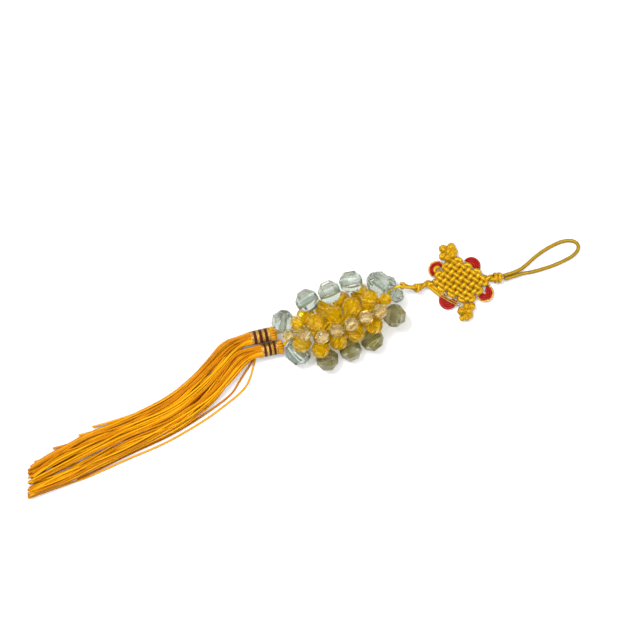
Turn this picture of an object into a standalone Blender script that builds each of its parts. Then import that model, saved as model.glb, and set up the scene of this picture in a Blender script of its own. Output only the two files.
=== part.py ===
"""Hanging charm: cord loop, endless knot with red petals, faceted bead cluster and two silky tassels.

The charm lies on a flat surface at z = 0. The origin is the middle of the knot's flat underside,
+X runs towards the hanging loop and +Z is up. Lengths are in metres.
"""
from math import cos, pi, radians, sin, sqrt, tau

import bmesh
import bpy
from mathutils import Euler, Matrix, Vector

MM = 0.001
UP = Vector((0, 0, 1))

# Driving dimensions
CORD_DIAMETER = 1.5 * MM
KNOT_THICKNESS = 4.3 * MM
KNOT_CORDS = 8
CLUSTER_CENTRE = Vector((-51.5, 4.6, 10.92)) * MM
CLUSTER_ROLL = radians(25.8)
RING_BEAD_RADIUS = 4.9 * MM
RING_BEAD_HALF_LENGTH = 4.55 * MM
YELLOW_BEAD_RADIUS = 3.75 * MM
RIDGE_BEAD_RADIUS = 2.85 * MM
HEAD_RADIUS = 2.9 * MM
STRAND_RADIUS = 0.34 * MM
CORE_RADIUS = 2.4 * MM

# Angles below which neighbouring faces are shaded as one surface
SMOOTH_CORD = radians(60)
SMOOTH_KNOT = radians(70)
SMOOTH_PETAL = radians(50)
SMOOTH_HEAD = radians(40)

# Colours and finishes: red, green, blue, roughness, metallic
FINISHES = {
    "yellow_satin": (0.80, 0.48, 0.02, 0.38, 0.0),
    "red_satin": (0.55, 0.02, 0.01, 0.30, 0.0),
    "clear_bead": (0.62, 0.68, 0.66, 0.06, 0.0),
    "amber_bead": (0.78, 0.48, 0.02, 0.08, 0.0),
    "tassel_silk": (0.93, 0.42, 0.01, 0.45, 0.0),
}


def finish(name):
    """The Principled material of one finish, made on first use."""
    if name in bpy.data.materials:
        return bpy.data.materials[name]
    red, green, blue, roughness, metallic = FINISHES[name]
    material = bpy.data.materials.new(name)
    material.use_nodes = True
    shader = material.node_tree.nodes["Principled BSDF"]
    shader.inputs["Base Color"].default_value = (red, green, blue, 1.0)
    shader.inputs["Roughness"].default_value = roughness
    shader.inputs["Metallic"].default_value = metallic
    return material


def add_object(name, bm, finish_name, smooth_angle=None):
    """Turns a bmesh into a named object with its own finish."""
    bmesh.ops.recalc_face_normals(bm, faces=bm.faces)
    mesh = bpy.data.meshes.new(name)
    bm.to_mesh(mesh)
    bm.free()
    mesh.materials.append(finish(finish_name))
    if smooth_angle is not None:
        mesh.shade_smooth()
        mesh.set_sharp_from_angle(angle=smooth_angle)
    thing = bpy.data.objects.new(name, mesh)
    bpy.context.scene.collection.objects.link(thing)
    return thing


def smooth_path(points, steps):
    """A Catmull-Rom curve through the points, with a number of steps between each two."""
    ends = [points[0] * 2 - points[1]] + list(points) + [points[-1] * 2 - points[-2]]
    curve = []
    for before, start, end, after in zip(ends, ends[1:], ends[2:], ends[3:]):
        for step in range(steps):
            t = step / steps
            curve.append(0.5 * ((2 * start) + (end - before) * t
                                + (2 * before - 5 * start + 4 * end - after) * t * t
                                + (3 * start - before - 3 * end + after) * t * t * t))
    curve.append(points[-1].copy())
    return curve


def section(bm, centre, along, radius, sides, turn, squash=1.0):
    """One ring of points square to a path that never runs straight up."""
    side = along.cross(UP).normalized()
    rise = side.cross(along).normalized()
    ring = []
    for k in range(sides):
        angle = turn + tau * k / sides
        reach = side * (radius * cos(angle)) + rise * (radius * squash * sin(angle))
        ring.append(bm.verts.new(centre + reach))
    return ring


def bridge(bm, first, second):
    """Side faces between two rings with the same number of points."""
    count = len(first)
    for k in range(count):
        following = (k + 1) % count
        bm.faces.new((first[k], first[following], second[following], second[k]))


def add_tube(bm, path, radii, sides, turn=0.0, squash=1.0):
    """A closed tube along a path, with a flat cap at each end."""
    last = len(path) - 1
    rings = []
    for i, (centre, radius) in enumerate(zip(path, radii)):
        along = path[min(i + 1, last)] - path[max(i - 1, 0)]
        rings.append(section(bm, centre, along.normalized(), radius, sides, turn, squash))
    for first, second in zip(rings, rings[1:]):
        bridge(bm, first, second)
    bm.faces.new(rings[0])
    bm.faces.new(list(reversed(rings[-1])))


def add_turned(bm, start, direction, profile, sides):
    """A solid turned around a straight axis, from rows of distance along it and radius."""
    rings = []
    for along, radius in profile:
        rings.append(section(bm, start + direction * along, direction, radius, sides, 0.0))
    for first, second in zip(rings, rings[1:]):
        bridge(bm, first, second)
    bm.faces.new(rings[0])
    bm.faces.new(list(reversed(rings[-1])))


# Hanging loop: x, y, z of the cord's middle, from the snake knot round the tip and back
LOOP_ROUTE = (
    (17.75, -5.7, 2.0),
    (21.5, -6.1, 1.5),
    (25.0, -6.0, 1.1),
    (28.6, -5.3, 0.85),
    (32.6, -4.15, 0.77),
    (36.8, -3.25, 0.77),
    (40.8, -2.8, 0.77),
    (44.5, -2.8, 0.77),
    (47.6, -3.5, 0.77),
    (49.9, -4.9, 0.77),
    (50.7, -6.9, 0.77),
    (49.6, -8.8, 0.77),
    (46.8, -10.0, 0.77),
    (42.5, -10.4, 0.77),
    (38.0, -10.35, 0.77),
    (33.7, -9.95, 0.77),
    (29.4, -9.5, 0.85),
    (25.1, -8.8, 1.1),
    (21.1, -8.05, 1.5),
    (17.4, -7.65, 2.0),
)
LOOP_STEPS = 2


def hanging_loop():
    """The single satin cord that the charm hangs by, knotted off at both ends."""
    path = smooth_path([Vector(row) * MM for row in LOOP_ROUTE], LOOP_STEPS)
    curve = bpy.data.curves.new("hanging_loop", "CURVE")
    curve.dimensions = "3D"
    curve.bevel_depth = CORD_DIAMETER / 2
    curve.bevel_resolution = 2
    curve.use_fill_caps = True
    line = curve.splines.new("POLY")
    line.points.add(len(path) - 1)
    for point, place in zip(line.points, path):
        point.co = (*place, 1)
    curve.materials.append(finish("yellow_satin"))
    loop = bpy.data.objects.new("hanging_loop", curve)
    bpy.context.scene.collection.objects.link(loop)


# Snake knot between the loop and the endless knot: distance along its axis and radius
SNAKE_START = Vector((12.05, -4.5, 2.4)) * MM
SNAKE_END = Vector((17.1, -6.55, 2.35)) * MM
SNAKE_PROFILE = (
    (0.0, 0.8),
    (0.5, 1.25),
    (1.3, 1.2),
    (1.7, 1.75),
    (2.3, 2.15),
    (2.9, 1.8),
    (3.4, 1.8),
    (4.0, 2.2),
    (4.6, 1.85),
    (5.0, 1.1),
)
SNAKE_SIDES = 12


def loop_knot():
    """Two round wraps that hold the ends of the loop together."""
    direction = (SNAKE_END - SNAKE_START).normalized()
    profile = [(along * MM, radius * MM) for along, radius in SNAKE_PROFILE]
    bm = bmesh.new()
    add_turned(bm, SNAKE_START, direction, profile, SNAKE_SIDES)
    add_object("loop_knot", bm, "yellow_satin", SMOOTH_CORD)


# Endless knot: corners as seen from above, and how far each side swells past a straight line
KNOT_LEFT = Vector((-11.6, 3.7, 0)) * MM
KNOT_TOP = Vector((1.9, 9.9, 0)) * MM
KNOT_RIGHT = Vector((11.6, -4.2, 0)) * MM
KNOT_BOTTOM = Vector((-0.3, -10.4, 0)) * MM
KNOT_SWELL = {"left_top": 0.2, "top_right": 0.3, "bottom_right": 1.3, "left_bottom": 0.2}
SWELL_REACH = 10.0
CELLS_PER_CORD = 3
BUMP_HEIGHT = 0.55 * MM
# Half the width of a raised pad, as a share of the space between two cords
PAD_HALF = 0.4
EDGE_ROUND = 1.0 * MM
EDGE_HEIGHT = 2.0 * MM
SCALLOP_DEPTH = 0.4 * MM
# The underside's steps: height, and how much of the outline is left there
UNDERSIDE = ((1.0, 0.96), (0.3, 0.88), (0.0, 0.78))


def arch(share):
    """0 at both ends of a side and 1 in its middle."""
    return 4 * share * (1 - share)


def knot_point(s, t):
    """A place on the knot: s runs from left to top, t from the top side to the bottom one."""
    upper = KNOT_LEFT.lerp(KNOT_TOP, s)
    lower = KNOT_BOTTOM.lerp(KNOT_RIGHT, s)
    place = upper.lerp(lower, t)
    middle = (KNOT_LEFT + KNOT_TOP + KNOT_RIGHT + KNOT_BOTTOM) / 4
    swell = (KNOT_SWELL["left_top"] * (1 - t) * arch(s) + KNOT_SWELL["bottom_right"] * t * arch(s)
             + KNOT_SWELL["left_bottom"] * (1 - s) * arch(t) + KNOT_SWELL["top_right"] * s * arch(t))
    return place + (place - middle) * (swell / SWELL_REACH)


def knot_height(s, t, side):
    """The woven top: a raised pad where one cord passes over another, falling off at the rim."""
    rim = min(s, 1 - s, t, 1 - t) * side
    fall = max(0.0, 1 - rim / EDGE_ROUND)
    flat = KNOT_THICKNESS - BUMP_HEIGHT
    height = EDGE_HEIGHT + (flat - EDGE_HEIGHT) * sqrt(1 - fall * fall)
    across = abs((s * KNOT_CORDS) % 1 - 0.5)
    along = abs((t * KNOT_CORDS) % 1 - 0.5)
    if rim > 0 and across < PAD_HALF and along < PAD_HALF:
        height += BUMP_HEIGHT
    return height


def scallop(s, t):
    """How far the cords' turns stand out along the rim, one for each two cords."""
    along = s if min(t, 1 - t) < min(s, 1 - s) else t
    return SCALLOP_DEPTH * abs(sin(pi * along * KNOT_CORDS / 2))


def endless_knot():
    """The woven body of the knot, with raised crossings and a flat underside."""
    cells = KNOT_CORDS * CELLS_PER_CORD
    side = (KNOT_TOP - KNOT_LEFT).length
    bm = bmesh.new()
    bmesh.ops.create_grid(bm, x_segments=cells, y_segments=cells, size=0.5)
    middle = knot_point(0.5, 0.5)
    for vert in bm.verts:
        s, t = vert.co.x + 0.5, 0.5 - vert.co.y
        place = knot_point(s, t)
        place.z = knot_height(s, t, side)
        if min(s, 1 - s, t, 1 - t) < 0.5 / cells:
            outward = Vector((place.x - middle.x, place.y - middle.y, 0)).normalized()
            place += outward * scallop(s, t)
        vert.co = place
    left_before = 1.0
    for height, left in UNDERSIDE:
        rim = [edge for edge in bm.edges if edge.is_boundary]
        lowered = bmesh.ops.extrude_edge_only(bm, edges=rim)["geom"]
        for vert in (item for item in lowered if isinstance(item, bmesh.types.BMVert)):
            flat_place = Vector((vert.co.x, vert.co.y, 0))
            vert.co = middle.lerp(flat_place, left / left_before)
            vert.co.z = height * MM
        left_before = left
    bmesh.ops.contextual_create(bm, geom=[edge for edge in bm.edges if edge.is_boundary])
    add_object("endless_knot", bm, "yellow_satin", SMOOTH_KNOT)


# Ears at the knot's top and bottom corners: x, y and radius of each little loop, and its height
EARS = {
    "ear_top": ((1.75, 11.75, 1.45), (-0.1, 14.0, 1.55), (2.9, 13.2, 1.6), (-0.9, 12.0, 1.45)),
    "ear_bottom": ((-1.2, -12.2, 1.5), (-3.4, -12.7, 1.5), (-0.2, -13.5, 1.5), (-2.6, -15.2, 1.5),
                   (-4.5, -15.3, 1.0)),
}
EAR_HEIGHT = 2.1 * MM
EAR_FLATTEN = 0.85
EAR_SIDES = 10
EAR_RINGS = 7
EAR_TURN = radians(17)


def unite(target, others):
    """Fuses the other objects into the target and removes them."""
    bpy.context.view_layer.update()
    for other in others:
        fuse = target.modifiers.new("fuse", "BOOLEAN")
        fuse.operation = "UNION"
        fuse.solver = "EXACT"
        fuse.object = other
    shape = target.evaluated_get(bpy.context.evaluated_depsgraph_get())
    fused = bpy.data.meshes.new_from_object(shape)
    target.modifiers.clear()
    target.data = fused
    for other in others:
        bpy.data.objects.remove(other)


def ears():
    """Two clusters of tight little cord loops, each fused into one piece."""
    for name, lobes in EARS.items():
        pieces = []
        for index, (x, y, radius) in enumerate(lobes):
            bm = bmesh.new()
            place = Matrix.Translation(Vector((x * MM, y * MM, EAR_HEIGHT)))
            turn = Matrix.Rotation(EAR_TURN * index, 4, "Z")
            shape = place @ Matrix.Diagonal((1, 1, EAR_FLATTEN, 1)) @ turn
            bmesh.ops.create_uvsphere(
                bm, u_segments=EAR_SIDES, v_segments=EAR_RINGS, radius=radius * MM, matrix=shape)
            lobe_name = name if index == 0 else name + "_lobe"
            pieces.append(add_object(lobe_name, bm, "yellow_satin", SMOOTH_CORD))
        unite(pieces[0], pieces[1:])


# Red petals behind the knot: centre x and y, the way each faces and half its sweep, in degrees
PETALS = {
    "petal_upper_left": (-6.2, 7.35, 114, 94),
    "petal_upper_right": (7.2, 3.1, 34, 80),
    "petal_lower_left": (-7.3, -5.9, 219, 124),
    "petal_lower_right": (7.7, -9.2, 297, 108),
}
PETAL_RADIUS = 2.9 * MM
PETAL_HALF_WIDTH = 0.8 * MM
PETAL_FLATTEN = 0.85
PETAL_HEIGHT = 1.1 * MM
PETAL_STEPS = 12
PETAL_SIDES = 8


def petals():
    """Four bowed red cords with a gold edge that stand out from behind the knot."""
    for name, (x, y, facing, half_sweep) in PETALS.items():
        path = []
        for step in range(PETAL_STEPS + 1):
            angle = radians(facing + half_sweep * (2 * step / PETAL_STEPS - 1))
            reach = Vector((PETAL_RADIUS * cos(angle), PETAL_RADIUS * sin(angle), PETAL_HEIGHT))
            path.append(Vector((x, y, 0)) * MM + reach)
        bm = bmesh.new()
        add_tube(bm, path, [PETAL_HALF_WIDTH] * len(path), PETAL_SIDES, squash=PETAL_FLATTEN)
        add_object(name, bm, "red_satin", SMOOTH_PETAL)


# Neck cord from the collar beads down to the knot: x, y, z and radius
NECK_ROUTE = (
    (-22.4, 7.4, 7.0, 1.5),
    (-21.4, 6.8, 6.7, 1.8),
    (-20.0, 5.8, 6.2, 1.75),
    (-18.6, 4.9, 5.6, 1.65),
    (-17.4, 4.1, 5.0, 1.95),
    (-16.4, 3.8, 4.4, 1.95),
    (-15.2, 3.9, 3.6, 1.3),
    (-13.7, 4.0, 2.8, 1.1),
    (-12.0, 3.85, 2.1, 1.0),
)
NECK_SIDES = 10


def neck_cord():
    """The doubled cord between the knot and the beads, with one lump where it is knotted."""
    bm = bmesh.new()
    path = [Vector(row[:3]) * MM for row in NECK_ROUTE]
    add_tube(bm, path, [row[3] * MM for row in NECK_ROUTE], NECK_SIDES)
    add_object("neck_cord", bm, "yellow_satin", SMOOTH_CORD)


# A faceted bead: how far along its hole each ring of corners is, and how wide it is there
BEAD_SIDES = 8
BEAD_RINGS = ((-0.93, 0.40), (-0.58, 0.83), (0.0, 1.0), (0.58, 0.83), (0.93, 0.40))


def faceted_bead(name, place, radius, half_length, turn, finish_name):
    """A bead cut in flat triangles, with its hole's axis along its own X before it is turned."""
    bm = bmesh.new()
    rings = []
    for level, (along, width) in enumerate(BEAD_RINGS):
        ring = []
        for k in range(BEAD_SIDES):
            angle = tau * (k + 0.5 * (level % 2)) / BEAD_SIDES
            corner = Vector((half_length * along, radius * width * cos(angle), radius * width * sin(angle)))
            ring.append(bm.verts.new(corner))
        rings.append(ring)
    for level, (first, second) in enumerate(zip(rings, rings[1:])):
        for k in range(BEAD_SIDES):
            following = (k + 1) % BEAD_SIDES
            if level % 2 == 0:
                bm.faces.new((first[k], first[following], second[k]))
                bm.faces.new((first[following], second[following], second[k]))
            else:
                bm.faces.new((first[k], second[following], second[k]))
                bm.faces.new((first[k], first[following], second[following]))
    bm.faces.new(rings[0])
    bm.faces.new(rings[-1])
    bead = add_object(name, bm, finish_name)
    bead.rotation_euler = Euler(turn, "XYZ")
    bead.location = place
    return bead


def cluster_place(along, across, rise):
    """A place in the bead cluster, from its own rolled axes in millimetres."""
    local = Vector((along, across, rise)) * MM
    return CLUSTER_CENTRE + Matrix.Rotation(CLUSTER_ROLL, 3, "X") @ local


# Large clear beads round the cluster: along, across and rise in its own axes, and the turn of each
RING_BEADS = {
    "ring_bead_a": (-8.6, 14.2, 0.0, 8),
    "ring_bead_b": (1.0, 13.6, 0.0, 20),
    "ring_bead_c": (10.6, 13.9, 0.0, -14),
    "ring_bead_d": (20.6, 7.7, -2.1, 35),
    "ring_bead_e": (21.4, -7.2, 1.5, -62),
    "ring_bead_f": (9.2, -14.0, 0.0, 12),
    "ring_bead_g": (-0.6, -13.9, 0.0, -18),
    "ring_bead_h": (-10.8, -13.7, 0.0, 10),
    "ring_bead_i": (-20.5, -6.6, -2.4, 50),
    "ring_bead_j": (-20.9, 8.6, -3.0, -48),
}
# The bead beside the near tassel is larger than the others
LARGE_BEAD = "ring_bead_i"
LARGE_SCALE = 1.13
# Rows of yellow beads: side of the cluster, top or underside, and the first bead's place along it
YELLOW_ROWS = {
    "yellow_top_far": (1, 1, -9.0),
    "yellow_top_near": (-1, 1, -11.6),
    "yellow_under_far": (1, -1, -11.6),
    "yellow_under_near": (-1, -1, -9.0),
}
YELLOW_PER_ROW = 4
YELLOW_PITCH = 7.9
YELLOW_ACROSS = 5.91
YELLOW_RISE = 4.62
# Rows of small clear beads: place across the cluster, height from its middle, first bead's place along it
RIDGE_ROWS = {"ridge_top": (1.25, 9.7, -8.9), "ridge_under": (0.0, -9.0, -12.8)}
RIDGE_PER_ROW = 5
RIDGE_PITCH = 6.4
# Beads at the cluster's ends: x, y and z from its centre, radius, turn and finish
END_BEADS = {
    "end_bead_tinted": (-15.8, 6.2, 7.3, 2.9, 30, "amber_bead"),
    "end_bead_clear": (-14.9, 0.6, 9.2, 2.6, 70, "clear_bead"),
    "end_bead_yellow": (-17.6, -2.2, 3.2, 3.9, 15, "amber_bead"),
    "end_bead_left": (-21.1, 3.2, 6.0, 2.3, 50, "clear_bead"),
    "end_bead_right": (20.6, 0.4, 5.6, 2.6, 40, "amber_bead"),
    "collar_bead_far": (24.9, 5.8, -4.9, 2.85, 25, "clear_bead"),
    "collar_bead_near": (25.6, -0.2, -3.6, 2.85, 60, "clear_bead"),
}
# How beads are turned: from one to the next about the hole, and how the rows' beads lean and veer
BEAD_TWIST = 0.7
YELLOW_LEAN = 0.3
YELLOW_VEER = 0.25
RIDGE_LEAN = 0.2
RIDGE_VEER = 0.3


def beads():
    """The faceted beads, each one a piece of its own."""
    for index, (name, (along, across, rise, turn)) in enumerate(RING_BEADS.items()):
        place = cluster_place(along, across, rise)
        twist = (BEAD_TWIST * index, 0, radians(turn))
        scale = LARGE_SCALE if name == LARGE_BEAD else 1.0
        faceted_bead(name, place, RING_BEAD_RADIUS * scale, RING_BEAD_HALF_LENGTH * scale, twist, "clear_bead")
    for row, (name, (side, top, start)) in enumerate(YELLOW_ROWS.items()):
        for index in range(YELLOW_PER_ROW):
            place = cluster_place(start + YELLOW_PITCH * index, side * YELLOW_ACROSS, top * YELLOW_RISE)
            twist = (BEAD_TWIST * (index + row), YELLOW_LEAN * (-1) ** index, YELLOW_VEER * (index - row))
            bead_name = f"{name}_{index + 1}"
            faceted_bead(bead_name, place, YELLOW_BEAD_RADIUS, YELLOW_BEAD_RADIUS, twist, "amber_bead")
    for name, (across, rise, start) in RIDGE_ROWS.items():
        for index in range(RIDGE_PER_ROW):
            place = cluster_place(start + RIDGE_PITCH * index, across, rise)
            twist = (BEAD_TWIST * index, RIDGE_LEAN, RIDGE_VEER * (-1) ** index)
            bead_name = f"{name}_{index + 1}"
            faceted_bead(bead_name, place, RIDGE_BEAD_RADIUS, RIDGE_BEAD_RADIUS, twist, "clear_bead")
    for name, (x, y, z, radius, turn, finish_name) in END_BEADS.items():
        place = CLUSTER_CENTRE + Vector((x, y, z)) * MM
        twist = (radians(turn), radians(turn / 2), radians(turn))
        faceted_bead(name, place, radius * MM, radius * MM, twist, finish_name)


# The cord bundle in the middle of the cluster: where it begins and ends along it
CORE_ENDS = (-12.5, 19.0)
CORE_STEPS = 4
CORE_SIDES = 10


def core_cord():
    """The cords that run through the middle of the beads, seen between them."""
    start, end = (cluster_place(along, 0.0, 0.0) for along in CORE_ENDS)
    path = [start.lerp(end, step / CORE_STEPS) for step in range(CORE_STEPS + 1)]
    bm = bmesh.new()
    add_tube(bm, path, [CORE_RADIUS] * len(path), CORE_SIDES)
    add_object("core_cord", bm, "yellow_satin", SMOOTH_CORD)


# Tassel heads: cap end and strand end of each, and its side of the shared skirt
TASSELS = {
    "tassel_near": ((-77.0, 4.6, 3.3), (-86.2, 6.5, 4.5), -1),
    "tassel_far": ((-77.3, 10.7, 5.9), (-88.1, 12.8, 7.0), 1),
}
# The turned head: share of its length from the cap end, and share of its radius
HEAD_PROFILE = (
    (0.0, 0.45),
    (0.05, 0.80),
    (0.16, 0.97),
    (0.30, 0.92),
    (0.36, 0.88),
    (0.41, 1.02),
    (0.47, 1.02),
    (0.51, 0.90),
    (0.57, 1.03),
    (0.63, 1.03),
    (0.67, 0.90),
    (0.73, 1.03),
    (0.79, 1.03),
    (0.83, 0.90),
    (0.90, 1.0),
    (1.0, 1.0),
)
HEAD_SIDES = 14
# The skirt that both tassels share: x and y of its middle, and half its width
SKIRT = (
    (-95.8, 9.8, 6.6),
    (-104.6, 5.8, 6.6),
    (-114.8, 1.4, 6.7),
    (-129.0, -2.2, 7.0),
    (-149.7, -2.8, 6.8),
    (-164.0, -2.9, 7.2),
    (-180.0, -3.7, 6.8),
    (-194.0, -4.3, 5.4),
)
# Strands in each row of a head, from the floor up, and how wide that row lies in the skirt
STRAND_ROWS = (4, 5, 6, 7, 6, 5, 4)
ROW_SPREAD = (1.0, 1.0, 1.0, 0.96, 0.88, 0.74, 0.55)
ROOT_ACROSS = 0.76 * MM
ROOT_RISE = 0.74 * MM
LAYER_RISE = 0.72 * MM
SKIRT_PARTING = 0.55 * MM
ROW_SWAY = 0.45 * MM
SWAY_LENGTH = 75 * MM
SWAY_STEP = 1.9
# How far a root begins inside the head, and how far it runs straight on
ROOT_DEPTH = 0.8 * MM
ROOT_RUN = 1.6 * MM
STRAND_SIDES = 3
LOOSE_STEPS = 2
# The line on which the strands end: x where y is 0, its slope, and how far an end may miss it
TIP_X = -190.9 * MM
TIP_SLOPE = 0.5
TIP_STAGGER = 1.6 * MM
# Phases that spread the ends, for each row, column and side
TIP_PHASES = (2.3, 4.1, 1.7)
# Two strands of the near tassel that fell out of the bundle: x and y along the floor
LOOSE_STRANDS = {
    (0, 0): ((-90.6, 2.6), (-95.7, -3.2), (-101.0, -6.0), (-110.0, -8.4), (-120.0, -10.4), (-136.4, -12.1),
             (-154.0, -12.0), (-170.8, -12.0), (-184.0, -11.0), (-197.5, -10.0)),
    (1, 0): ((-91.5, 3.4), (-98.0, -0.8), (-104.0, -4.7), (-112.0, -6.9), (-123.7, -9.0), (-136.0, -10.2),
             (-152.0, -10.4), (-164.0, -10.9), (-176.0, -11.2)),
}


def strand_tip(row, column, side, y):
    """Where a strand at that y ends along X: near one slanting line."""
    spread = sin(sum(phase * number for phase, number in zip(TIP_PHASES, (row, column, side))))
    return TIP_X + TIP_SLOPE * y + TIP_STAGGER * spread


def skirt_station(index, row, column, side):
    """A strand's place at one station of the skirt, in its own layer."""
    x, y, half_width = SKIRT[index]
    before = Vector(SKIRT[max(index - 1, 0)][:2])
    after = Vector(SKIRT[min(index + 1, len(SKIRT) - 1)][:2])
    along = (after - before).normalized()
    normal = Vector((along.y, -along.x)) if along.x < 0 else Vector((-along.y, along.x))
    share = (column + 0.5) / STRAND_ROWS[row]
    band = half_width * MM - SKIRT_PARTING
    margin = band * (1 - ROW_SPREAD[row]) / 2
    inner = SKIRT_PARTING + margin
    across = inner + (band - 2 * margin) * (share if side > 0 else 1 - share)
    sway = ROW_SWAY * sin(tau * x * MM / SWAY_LENGTH + SWAY_STEP * row)
    place = Vector((x, y)) * MM + normal * (side * across + sway)
    return Vector((place.x, place.y, STRAND_RADIUS / 2 + row * LAYER_RISE))


def strand_path(start, direction, row, column, side):
    """A strand's way from its root in the head to its tip."""
    across = Vector((direction.y, -direction.x, 0)).normalized()
    count = STRAND_ROWS[row]
    middle_row = (len(STRAND_ROWS) - 1) / 2
    reach = across * (ROOT_ACROSS * (column - (count - 1) / 2)) + UP * (ROOT_RISE * (row - middle_row))
    root = start + reach
    points = [root - direction * ROOT_DEPTH, root + direction * ROOT_RUN]
    if side < 0 and (row, column) in LOOSE_STRANDS:
        for x, y in LOOSE_STRANDS[(row, column)]:
            points.append(Vector((x * MM, y * MM, STRAND_RADIUS / 2)))
        path = smooth_path(points, LOOSE_STEPS)
        for point in path:
            point.z = max(point.z, STRAND_RADIUS / 2)
        return path
    for index in range(len(SKIRT)):
        points.append(skirt_station(index, row, column, side))
    tip = strand_tip(row, column, side, points[-1].y)
    last = points[-1] - points[-2]
    points[-1] = points[-2] + last * ((tip - points[-2].x) / last.x)
    return points


def tassels():
    """Two bound heads, each fused with the roots of its own strands."""
    for name, (cap_end, strand_end, side) in TASSELS.items():
        start, end = Vector(cap_end) * MM, Vector(strand_end) * MM
        direction = (end - start).normalized()
        length = (end - start).length
        profile = [(share * length, width * HEAD_RADIUS) for share, width in HEAD_PROFILE]
        bm = bmesh.new()
        add_turned(bm, start, direction, profile, HEAD_SIDES)
        head = add_object(name, bm, "tassel_silk", SMOOTH_HEAD)
        bm = bmesh.new()
        for row, count in enumerate(STRAND_ROWS):
            for column in range(count):
                path = strand_path(end, direction, row, column, side)
                add_tube(bm, path, [STRAND_RADIUS] * len(path), STRAND_SIDES, turn=pi / 2)
        strands = add_object(name + "_strands", bm, "tassel_silk")
        unite(head, [strands])


def clear_scene():
    """Removes whatever the scene holds before the charm is made."""
    for thing in list(bpy.data.objects):
        bpy.data.objects.remove(thing)


clear_scene()
hanging_loop()
loop_knot()
endless_knot()
ears()
petals()
neck_cord()
beads()
core_cord()
tassels()
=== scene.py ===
from math import atan2, cos, floor, pi, radians, sin, tau

import bmesh
import bpy
from bpy.props import FloatProperty, FloatVectorProperty, IntProperty, PointerProperty
from mathutils import Matrix, Vector


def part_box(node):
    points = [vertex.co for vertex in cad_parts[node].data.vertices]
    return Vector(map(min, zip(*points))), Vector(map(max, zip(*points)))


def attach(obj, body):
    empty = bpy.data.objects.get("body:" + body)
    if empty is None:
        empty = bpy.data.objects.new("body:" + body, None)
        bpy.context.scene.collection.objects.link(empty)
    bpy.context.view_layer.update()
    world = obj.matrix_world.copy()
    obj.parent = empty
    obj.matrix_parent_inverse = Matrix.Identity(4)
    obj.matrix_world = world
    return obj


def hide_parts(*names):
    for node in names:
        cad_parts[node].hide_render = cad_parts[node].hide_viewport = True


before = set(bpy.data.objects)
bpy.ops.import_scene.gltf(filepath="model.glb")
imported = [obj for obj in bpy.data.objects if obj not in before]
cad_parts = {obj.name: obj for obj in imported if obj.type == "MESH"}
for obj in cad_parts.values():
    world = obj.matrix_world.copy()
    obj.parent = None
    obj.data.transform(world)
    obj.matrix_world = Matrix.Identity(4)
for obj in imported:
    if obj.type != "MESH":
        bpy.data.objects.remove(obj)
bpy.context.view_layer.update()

bl_info = {
    "name": "Beaded tassel charm",
    "version": (1, 0, 0),
    "blender": (4, 5, 0),
    "location": "3D View > Sidebar > Charm",
    "description": "Builds the cords, knots, beads and tassels of a beaded charm around its packed frame",
    "category": "Add Mesh",
}

MM = 0.001
UP = Vector((0, 0, 1))


# Sizes and colours


def colour(name, description, default):
    """A colour setting, in linear light."""
    return FloatVectorProperty(
        name=name, description=description, default=default, subtype="COLOR", size=3, min=0.0, max=1.0)


def length(name, description, millimetres):
    """A length setting, given in millimetres and kept in metres."""
    return FloatProperty(name=name, description=description, default=millimetres * MM, unit="LENGTH")


class CordSettings(bpy.types.PropertyGroup):
    """Sizes and colours of the satin cords."""

    radius: length("Cord radius", "Half the thickness of the hanging loop's cord", 0.75)
    weave_radius: length("Woven cord radius", "Half the width of a cord in the endless knot", 0.98)
    weave_flatten: FloatProperty(
        name="Woven flattening", description="Thickness of a woven cord as a share of its width", default=0.76)
    cords_across: IntProperty(
        name="Cords across", description="Cords from the left corner to the top", default=6)
    cords_down: IntProperty(
        name="Cords down", description="Cords from the top corner to the right", default=7)
    yellow: colour("Yellow satin", "Colour of the yellow cord", (0.74, 0.42, 0.006))
    yellow_deep: colour("Deep yellow", "Colour of the yellow cord's darker fibres", (0.52, 0.27, 0.002))
    # Painted shade colour for the yellow cords' undersides; the loop cord also takes it as its darker fibre colour
    yellow_painted_shade_and_fibre: colour("Yellow flank", "Colour of the yellow cord's shaded sides", (0.19, 0.08, 0.001))
    olive: colour("Loop satin", "Colour of the duller cord of the hanging loop", (0.50, 0.31, 0.006))
    red: colour("Red satin", "Colour of the petals' cord", (0.46, 0.009, 0.003))
    # The deep red is the red cords' darker fibres and also their painted shade underneath
    red_deep: colour("Deep red", "Colour of the red cord's darker fibres", (0.19, 0.003, 0.001))
    gold: colour("Gold thread", "Colour of the metallic thread", (0.86, 0.56, 0.15))


class BeadSettings(bpy.types.PropertyGroup):
    """Sizes and colours of the beads."""

    ring_radius: length("Ring bead radius", "Half the width of a large clear bead", 4.78)
    ring_half_length: length("Ring bead half length", "Half the length of a large bead along its hole", 4.5)
    yellow_radius: length("Yellow bead radius", "Half the width of an amber bead", 3.72)
    ridge_radius: length("Ridge bead radius", "Half the width of a small clear bead", 2.85)
    thread_radius: length("Nylon radius", "Half the thickness of the clear stringing thread", 0.16)
    clear: colour("Clear glass", "Tint of the clear beads", (0.58, 0.66, 0.58))
    # Painted shade: the clear glass darkened to an olive tint for the beads on the cluster's lower side
    painted_shade_tint: colour("Smoky glass", "Tint of the clear beads under the cluster's lower side", (0.42, 0.385, 0.13))
    blush: colour("Blush glass", "Tint of the small clear beads", (0.92, 0.76, 0.32))
    amber: colour("Amber glass", "Tint of the yellow beads", (0.94, 0.62, 0.002))


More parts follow.
